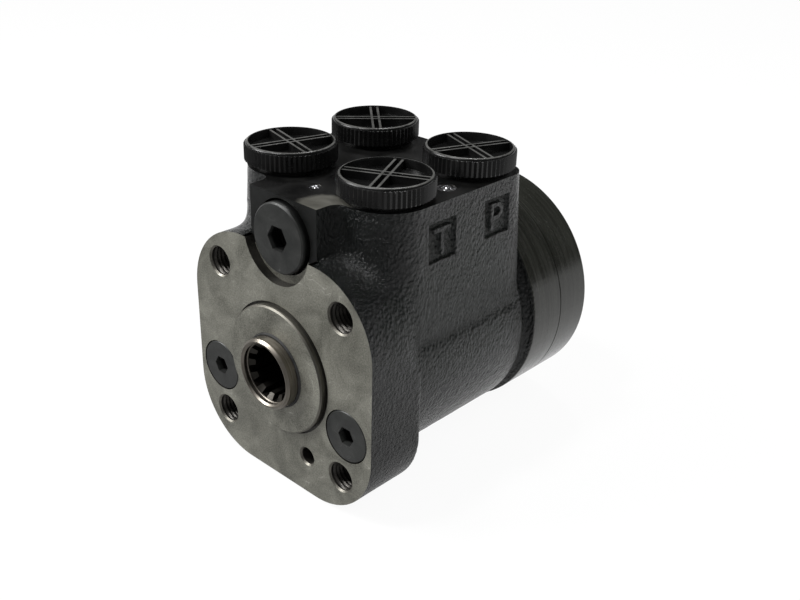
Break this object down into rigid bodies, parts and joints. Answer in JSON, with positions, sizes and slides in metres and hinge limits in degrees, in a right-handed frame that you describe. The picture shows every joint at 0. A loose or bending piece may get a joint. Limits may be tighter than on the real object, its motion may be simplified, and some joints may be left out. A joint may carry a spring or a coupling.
{
  "type": "orbital steering unit",
  "caption": "Orbital hydraulic steering unit: cast housing with square flange and capped top ports, splined rotary valve, gerotor gear set and round end cover.",
  "frame": {"origin": "on the axis of the input shaft's spline socket, in the plane of the flange's front face", "axes": "+Y along the input shaft from the flange towards the end cover, +Z towards the port face, +X to the right seen from the front"},
  "size_m": [0.086, 0.1234, 0.1111],
  "materials": {
    "painted_casting": "satin black paint over sand casting, bare machined faces",
    "painted_steel": "smooth glossy black paint over turned steel",
    "valve_steel": "ground steel",
    "spring_steel": "oiled spring steel",
    "black_oxide": "dark grey phosphate",
    "washer_metal": "plain",
    "seal_rubber": "matte",
    "cap_plastic": "moulded black"
  },
  "bodies": {
    "housing": {"housing": "painted_casting", "distributor_plate": "painted_steel", "gear_ring": "painted_steel", "end_cover": "painted_steel", "cover_screws": "black_oxide", "pin_screw": "black_oxide", "cover_washers": "washer_metal", "thrust_race_outer": "valve_steel", "shaft_seal": "seal_rubber", "dust_seal": "seal_rubber", "o_ring_housing": "seal_rubber", "o_ring_distributor": "seal_rubber", "o_ring_cover": "seal_rubber", "relief_plug": "black_oxide", "relief_washer": "washer_metal", "relief_seat": "valve_steel", "relief_spring": "spring_steel", "shock_plug_right": "black_oxide", "shock_plug_left": "black_oxide", "shock_washer_right": "washer_metal", "shock_washer_left": "washer_metal", "shock_seat_right": "valve_steel", "shock_seat_left": "valve_steel", "shock_spring_right": "spring_steel", "shock_spring_left": "spring_steel", "check_bushing": "valve_steel", "suction_pins": "valve_steel", "gallery_plugs": "valve_steel"},
    "sleeve": {"sleeve": "valve_steel", "cross_pin": "valve_steel", "flat_springs": "spring_steel", "bow_springs": "spring_steel", "spring_ring": "spring_steel", "thrust_race_inner": "valve_steel"},
    "spool": {"spool": "valve_steel"},
    "thrust_cage": {"thrust_cage": "valve_steel", "thrust_needles": "valve_steel"},
    "orbit_carrier": {"cardan_spacer": "valve_steel"},
    "rotor": {"rotor": "valve_steel"},
    "cardan_shaft": {"cardan_shaft": "valve_steel"},
    "relief_poppet": {"relief_poppet": "valve_steel"},
    "shock_cone_right": {"shock_cone_right": "valve_steel"},
    "shock_cone_left": {"shock_cone_left": "valve_steel"},
    "check_ball": {"check_ball": "valve_steel"},
    "suction_ball_right": {"suction_ball_right": "valve_steel"},
    "suction_ball_left": {"suction_ball_left": "valve_steel"},
    "cap_front_right": {"port_cap_front_right": "cap_plastic"},
    "cap_front_left": {"port_cap_front_left": "cap_plastic"},
    "cap_rear_right": {"port_cap_rear_right": "cap_plastic"},
    "cap_rear_left": {"port_cap_rear_left": "cap_plastic"}
  },
  "joints": [
    {"name": "sleeve_turn", "type": "hinge", "parent": "housing", "child": "sleeve", "pos_m": [0, 0, 0], "axis": [0, 1, 0], "continuous": true},
    {"name": "spool_twist", "type": "hinge", "parent": "sleeve", "child": "spool", "pos_m": [0, 0, 0], "axis": [0, 1, 0], "range_deg": [-8, 8], "stiffness_Nm_per_rad": 8, "deforming": ["flat_springs", "bow_springs"]},
    {"name": "orbit", "type": "hinge", "parent": "housing", "child": "orbit_carrier", "pos_m": [0, 0, 0], "axis": [0, 1, 0], "continuous": true},
    {"name": "rotor_spin", "type": "hinge", "parent": "orbit_carrier", "child": "rotor", "pos_m": [0, 0.10325, 0.0029], "axis": [0, 1, 0], "continuous": true},
    {"name": "cardan_spin", "type": "hinge", "parent": "orbit_carrier", "child": "cardan_shaft", "pos_m": [0, 0.038, 0], "axis": [0, 0.999, 0.0444], "continuous": true},
    {"name": "bearing_roll", "type": "hinge", "parent": "housing", "child": "thrust_cage", "pos_m": [0, 0, 0], "axis": [0, 1, 0], "continuous": true},
    {"name": "relief_lift", "type": "slide", "parent": "housing", "child": "relief_poppet", "axis": [0, -1, 0], "range_m": [0, 0.002], "stiffness_N_per_m": 20000, "springref_m": -0.004, "deforming": ["relief_spring"]},
    {"name": "shock_right_lift", "type": "slide", "parent": "housing", "child": "shock_cone_right", "axis": [0, -1, 0], "range_m": [0, 0.0015], "stiffness_N_per_m": 15000, "springref_m": -0.004, "deforming": ["shock_spring_right"]},
    {"name": "shock_left_lift", "type": "slide", "parent": "housing", "child": "shock_cone_left", "axis": [0, -1, 0], "range_m": [0, 0.0015], "stiffness_N_per_m": 15000, "springref_m": -0.004, "deforming": ["shock_spring_left"]},
    {"name": "check_lift", "type": "slide", "parent": "housing", "child": "check_ball", "axis": [0, 0, 1], "range_m": [0, 0.0015]},
    {"name": "suction_right_lift", "type": "slide", "parent": "housing", "child": "suction_ball_right", "axis": [0, 1, 0], "range_m": [0, 0.0012]},
    {"name": "suction_left_lift", "type": "slide", "parent": "housing", "child": "suction_ball_left", "axis": [0, 1, 0], "range_m": [0, 0.0012]},
    {"name": "cap_front_right_off", "type": "slide", "parent": "housing", "child": "cap_front_right", "axis": [0, 0, 1], "range_m": [0, 0.03]},
    {"name": "cap_front_left_off", "type": "slide", "parent": "housing", "child": "cap_front_left", "axis": [0, 0, 1], "range_m": [0, 0.03]},
    {"name": "cap_rear_right_off", "type": "slide", "parent": "housing", "child": "cap_rear_right", "axis": [0, 0, 1], "range_m": [0, 0.03]},
    {"name": "cap_rear_left_off", "type": "slide", "parent": "housing", "child": "cap_rear_left", "axis": [0, 0, 1], "range_m": [0, 0.03]}
  ],
  "couplings": [
    {"joint": "orbit", "follows": "sleeve_turn", "ratio": -6},
    {"joint": "rotor_spin", "follows": "sleeve_turn", "ratio": 7},
    {"joint": "cardan_spin", "follows": "sleeve_turn", "ratio": 7},
    {"joint": "bearing_roll", "follows": "sleeve_turn", "ratio": 0.5}
  ]
}
